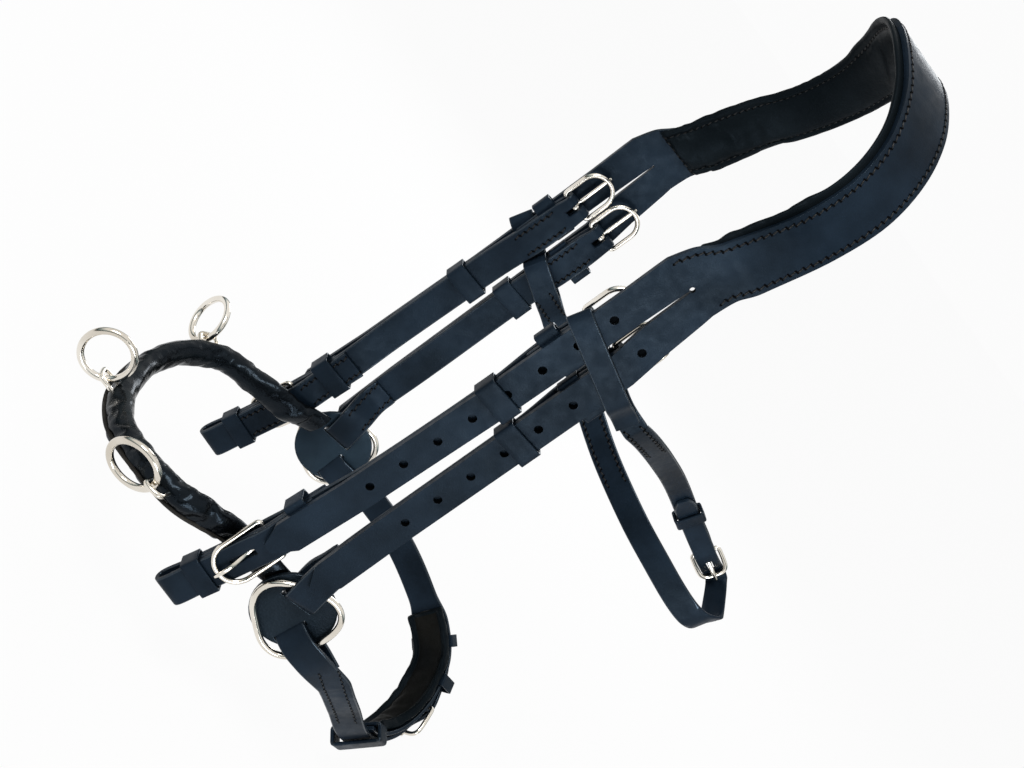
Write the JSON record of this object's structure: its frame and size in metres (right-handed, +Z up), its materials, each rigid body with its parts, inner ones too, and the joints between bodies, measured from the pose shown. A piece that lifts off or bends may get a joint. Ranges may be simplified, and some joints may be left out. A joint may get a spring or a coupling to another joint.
{
  "type": "cavesson bridle",
  "caption": "Black leather bridle headstall with padded crown, buckled cheeks and throatlatch, soft nose roll with rings, joining rings and padded chin strap.",
  "frame": {"origin": "seat of the crown lining on the horse's poll, on the middle plane", "axes": "+Z up along the cheeks, -Y the horse's left (near) side, +Y the right (far) side, -X towards the nose, +X towards the throat"},
  "size_m": [0.4334, 0.2361, 0.5839],
  "materials": {
    "crown_leather": "strap leather, black, smooth semi-matt",
    "crown_padding": "soft padded lining leather",
    "near_bit_cheekpiece": "strap leather, black, smooth semi-matt",
    "near_cavesson_cheekpiece": "strap leather, black, smooth semi-matt",
    "near_bit_strap": "strap leather, black, smooth semi-matt",
    "near_bit_top_keeper": "strap leather, black, smooth semi-matt",
    "near_cavesson_top_keeper": "strap leather, black, smooth semi-matt",
    "near_bit_runner": "strap leather, black, smooth semi-matt",
    "near_cavesson_runner": "strap leather, black, smooth semi-matt",
    "near_point_keeper": "strap leather, black, smooth semi-matt",
    "near_bit_loop_keeper": "strap leather, black, smooth semi-matt",
    "near_guard_disc": "thick black disc leather, grained",
    "near_bit_top_frame": "polished steel",
    "near_bit_top_prong": "polished steel",
    "near_cavesson_top_frame": "polished steel",
    "near_cavesson_top_prong": "polished steel",
    "near_bit_buckle_frame": "polished steel",
    "near_bit_buckle_prong": "polished steel",
    "near_three_way_ring": "polished steel",
    "far_bit_cheekpiece": "strap leather, black, smooth semi-matt",
    "far_cavesson_cheekpiece": "strap leather, black, smooth semi-matt",
    "far_bit_strap": "strap leather, black, smooth semi-matt",
    "far_bit_top_keeper": "strap leather, black, smooth semi-matt",
    "far_cavesson_top_keeper": "strap leather, black, smooth semi-matt",
    "far_bit_runner": "strap leather, black, smooth semi-matt",
    "far_cavesson_runner": "strap leather, black, smooth semi-matt",
    "far_point_keeper": "strap leather, black, smooth semi-matt",
    "far_bit_loop_keeper": "strap leather, black, smooth semi-matt",
    "far_guard_disc": "thick black disc leather, grained",
    "far_bit_top_frame": "polished steel",
    "far_bit_top_prong": "polished steel",
    "far_cavesson_top_frame": "polished steel",
    "far_cavesson_top_prong": "polished steel",
    "far_bit_buckle_frame": "polished steel",
    "far_bit_buckle_prong": "polished steel",
    "far_three_way_ring": "polished steel",
    "nose_cover": "soft thin leather, slightly shiny",
    "nose_padding": "foam filling, hidden",
    "nose_core": "flexible steel band, hidden",
    "near_nose_staple": "polished steel",
    "near_nose_ring": "polished steel",
    "mid_nose_staple": "polished steel",
    "mid_nose_ring": "polished steel",
    "far_nose_staple": "polished steel",
    "far_nose_ring": "polished steel",
    "throat_strap": "strap leather, black, smooth semi-matt",
    "throat_near_strap": "strap leather, black, smooth semi-matt",
    "throat_keeper": "strap leather, black, smooth semi-matt",
    "chin_strap": "strap leather, black, smooth semi-matt",
    "chin_pad_leather": "strap leather, black, smooth semi-matt",
    "chin_end_loop": "strap leather, black, smooth semi-matt",
    "chin_chape": "strap leather, black, smooth semi-matt",
    "chin_keeper_a": "strap leather, black, smooth semi-matt",
    "chin_keeper_b": "strap leather, black, smooth semi-matt",
    "chin_pad_padding": "soft padded lining leather",
    "throat_frame": "polished steel",
    "throat_prong": "polished steel",
    "chin_frame": "polished steel",
    "chin_prong": "polished steel"
  },
  "bodies": {
    "bridle": {"crown_leather": "crown_leather", "crown_padding": "crown_padding", "near_bit_cheekpiece": "near_bit_cheekpiece", "near_cavesson_cheekpiece": "near_cavesson_cheekpiece", "near_bit_strap": "near_bit_strap", "near_bit_top_keeper": "near_bit_top_keeper", "near_cavesson_top_keeper": "near_cavesson_top_keeper", "near_point_keeper": "near_point_keeper", "near_bit_loop_keeper": "near_bit_loop_keeper", "near_guard_disc": "near_guard_disc", "near_bit_top_frame": "near_bit_top_frame", "near_cavesson_top_frame": "near_cavesson_top_frame", "near_bit_buckle_frame": "near_bit_buckle_frame", "near_three_way_ring": "near_three_way_ring", "far_bit_cheekpiece": "far_bit_cheekpiece", "far_cavesson_cheekpiece": "far_cavesson_cheekpiece", "far_bit_strap": "far_bit_strap", "far_bit_top_keeper": "far_bit_top_keeper", "far_cavesson_top_keeper": "far_cavesson_top_keeper", "far_point_keeper": "far_point_keeper", "far_bit_loop_keeper": "far_bit_loop_keeper", "far_guard_disc": "far_guard_disc", "far_bit_top_frame": "far_bit_top_frame", "far_cavesson_top_frame": "far_cavesson_top_frame", "far_bit_buckle_frame": "far_bit_buckle_frame", "far_three_way_ring": "far_three_way_ring", "nose_cover": "nose_cover", "nose_padding": "nose_padding", "nose_core": "nose_core", "near_nose_staple": "near_nose_staple", "mid_nose_staple": "mid_nose_staple", "far_nose_staple": "far_nose_staple", "throat_strap": "throat_strap", "throat_near_strap": "throat_near_strap", "throat_keeper": "throat_keeper", "chin_strap": "chin_strap", "chin_pad_leather": "chin_pad_leather", "chin_end_loop": "chin_end_loop", "chin_chape": "chin_chape", "chin_keeper_a": "chin_keeper_a", "chin_keeper_b": "chin_keeper_b", "chin_pad_padding": "chin_pad_padding", "throat_frame": "throat_frame", "chin_frame": "chin_frame"},
    "near_bit_top_prong": {"near_bit_top_prong": "near_bit_top_prong"},
    "near_cavesson_top_prong": {"near_cavesson_top_prong": "near_cavesson_top_prong"},
    "near_bit_buckle_prong": {"near_bit_buckle_prong": "near_bit_buckle_prong"},
    "far_bit_top_prong": {"far_bit_top_prong": "far_bit_top_prong"},
    "far_cavesson_top_prong": {"far_cavesson_top_prong": "far_cavesson_top_prong"},
    "far_bit_buckle_prong": {"far_bit_buckle_prong": "far_bit_buckle_prong"},
    "chin_prong": {"chin_prong": "chin_prong"},
    "throat_prong": {"throat_prong": "throat_prong"},
    "near_nose_ring": {"near_nose_ring": "near_nose_ring"},
    "mid_nose_ring": {"mid_nose_ring": "mid_nose_ring"},
    "far_nose_ring": {"far_nose_ring": "far_nose_ring"},
    "near_bit_runner": {"near_bit_runner": "near_bit_runner"},
    "far_bit_runner": {"far_bit_runner": "far_bit_runner"},
    "near_cavesson_runner": {"near_cavesson_runner": "near_cavesson_runner"},
    "far_cavesson_runner": {"far_cavesson_runner": "far_cavesson_runner"}
  },
  "joints": [
    {"name": "near_bit_top_prong_hinge", "type": "hinge", "parent": "bridle", "child": "near_bit_top_prong", "pos_m": [0.00015, -0.0905, -0.222], "axis": [1, 0, 0], "range_deg": [0, 6]},
    {"name": "near_cavesson_top_prong_hinge", "type": "hinge", "parent": "bridle", "child": "near_cavesson_top_prong", "pos_m": [0.02872, -0.0905, -0.222], "axis": [1, 0, 0], "range_deg": [0, 6]},
    {"name": "near_bit_buckle_prong_hinge", "type": "hinge", "parent": "bridle", "child": "near_bit_buckle_prong", "pos_m": [-0.00793, -0.0893, -0.463], "axis": [-0.9919, 0, 0.1271], "range_deg": [0, 6]},
    {"name": "far_bit_top_prong_hinge", "type": "hinge", "parent": "bridle", "child": "far_bit_top_prong", "pos_m": [-0.00295, 0.0905, -0.222], "axis": [-1, 0, 0], "range_deg": [0, 6]},
    {"name": "far_cavesson_top_prong_hinge", "type": "hinge", "parent": "bridle", "child": "far_cavesson_top_prong", "pos_m": [0.02562, 0.0905, -0.222], "axis": [-1, 0, 0], "range_deg": [0, 6]},
    {"name": "far_bit_buckle_prong_hinge", "type": "hinge", "parent": "bridle", "child": "far_bit_buckle_prong", "pos_m": [-0.01103, 0.0893, -0.463], "axis": [0.9919, 0, -0.1271], "range_deg": [0, 6]},
    {"name": "chin_prong_hinge", "type": "hinge", "parent": "bridle", "child": "chin_prong", "pos_m": [0.20952, 0.01404, -0.53336], "axis": [0.3899, -0.5865, 0.7099], "range_deg": [0, 10]},
    {"name": "throat_prong_hinge", "type": "hinge", "parent": "bridle", "child": "throat_prong", "pos_m": [0.23316, 0.01547, -0.29218], "axis": [-0.2762, -0.0049, -0.9611], "range_deg": [0, 6]},
    {"name": "near_nose_ring_hinge", "type": "hinge", "parent": "bridle", "child": "near_nose_ring", "pos_m": [-0.08571, -0.09427, -0.49108], "axis": [-0.4196, -0.906, 0.0551], "range_deg": [-18, 22]},
    {"name": "mid_nose_ring_hinge", "type": "hinge", "parent": "bridle", "child": "mid_nose_ring", "pos_m": [-0.13332, -0.00052, -0.51033], "axis": [-0.0258, 0.9997, 0], "range_deg": [-100, 8]},
    {"name": "far_nose_ring_hinge", "type": "hinge", "parent": "bridle", "child": "far_nose_ring", "pos_m": [-0.08547, 0.10144, -0.48581], "axis": [0.8556, 0.3903, 0.3399], "range_deg": [-65, 48]},
    {"name": "near_bit_runner_slide", "type": "slide", "parent": "bridle", "child": "near_bit_runner", "axis": [-0.0282, 0, -0.9996], "range_m": [0, 0.085]},
    {"name": "far_bit_runner_slide", "type": "slide", "parent": "bridle", "child": "far_bit_runner", "axis": [-0.0282, 0, -0.9996], "range_m": [-0.02, 0.064]},
    {"name": "near_cavesson_runner_slide", "type": "slide", "parent": "bridle", "child": "near_cavesson_runner", "axis": [0.007, 0, -1], "range_m": [-0.006, 0.118]},
    {"name": "far_cavesson_runner_slide", "type": "slide", "parent": "bridle", "child": "far_cavesson_runner", "axis": [0.007, 0, -1], "range_m": [-0.002, 0.094]}
  ]
}
